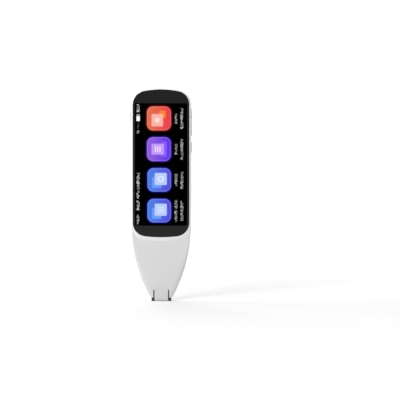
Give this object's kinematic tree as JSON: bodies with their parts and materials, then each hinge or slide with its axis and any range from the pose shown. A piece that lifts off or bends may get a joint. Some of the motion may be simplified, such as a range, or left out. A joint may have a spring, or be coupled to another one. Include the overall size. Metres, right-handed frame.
{
  "type": "handheld translator",
  "caption": "Flat pen-shaped scanning translator with a long touch screen, tapered chin, pressed-in reading nib, side keys, raised rear camera and loudspeaker holes.",
  "frame": {"origin": "on the pen's long axis, 40 mm above the nib's end, where thumb and fingers hold it", "axes": "+Z along the pen away from the nib, -Y the way the screen faces, +X to the screen's right"},
  "size_m": [0.041, 0.0144, 0.1405],
  "materials": {
    "white_case": "fine satin white moulding",
    "pale_nib": "satin pale grey moulding",
    "cover_glass": "polished glass with a black printed border",
    "camera_glass": "polished black",
    "smoke_window": "polished smoke grey",
    "black_plastic": "fine matt black",
    "grey_plastic": "matt grey",
    "display": "display module",
    "alloy": "blasted",
    "steel": "plain",
    "switch_metal": "plain",
    "board": "solder mask",
    "plug_plastic": "moulded",
    "amber_flex": "polyimide film",
    "lamp": "clear resin over a phosphor",
    "battery_foil": "laminated foil",
    "wire": "insulated wire"
  },
  "bodies": {
    "housing": {"front_shell": "white_case", "rear_shell": "white_case", "camera_bezel": "white_case", "cover_glass": "cover_glass", "camera_window": "camera_glass", "scan_hood": "black_plastic", "scan_lens": "black_plastic", "camera_module": "black_plastic", "speaker_box": "black_plastic", "glass_adhesive": "black_plastic", "vibration_motor": "black_plastic", "nib_guide": "grey_plastic", "display_panel": "display", "chassis": "alloy", "chassis_screws": "steel", "shield_cans": "steel", "usb_socket": "steel", "nib_springs": "steel", "speaker_mesh": "steel", "microphone": "steel", "key_switches": "switch_metal", "nib_switch": "switch_metal", "main_board": "board", "scan_sensor_board": "board", "battery_board": "board", "board_plugs": "plug_plastic", "display_flex": "amber_flex", "key_flex_right": "amber_flex", "key_flex_left": "amber_flex", "camera_flex": "amber_flex", "scan_flex": "amber_flex", "antenna_strip": "amber_flex", "flash_led": "lamp", "scan_leds": "lamp", "battery_pouch": "battery_foil", "battery_leads": "wire"},
    "nib": {"nib_carrier": "black_plastic", "nib_tongue": "pale_nib", "nib_frame": "pale_nib", "scan_window": "smoke_window"},
    "rocker": {"volume_rocker": "white_case"},
    "power": {"power_key": "white_case"},
    "shortcut": {"side_key": "white_case"}
  },
  "joints": [
    {"name": "nib_press", "type": "slide", "parent": "housing", "child": "nib", "axis": [0, 0, 1], "range_m": [0, 0.0008], "stiffness_N_per_m": 900, "springref_m": -0.0005, "deforming": ["nib_springs"]},
    {"name": "volume_rock", "type": "hinge", "parent": "housing", "child": "rocker", "pos_m": [0.0177, -0.0008, 0.0789], "axis": [0, 1, 0], "range_deg": [-2, 2], "stiffness_Nm_per_rad": 0.3},
    {"name": "power_press", "type": "slide", "parent": "housing", "child": "power", "axis": [-1, 0, 0], "range_m": [0, 0.00035], "stiffness_N_per_m": 3500, "springref_m": -0.0001},
    {"name": "shortcut_press", "type": "slide", "parent": "housing", "child": "shortcut", "axis": [1, 0, 0], "range_m": [0, 0.00035], "stiffness_N_per_m": 3500, "springref_m": -0.0001}
  ]
}
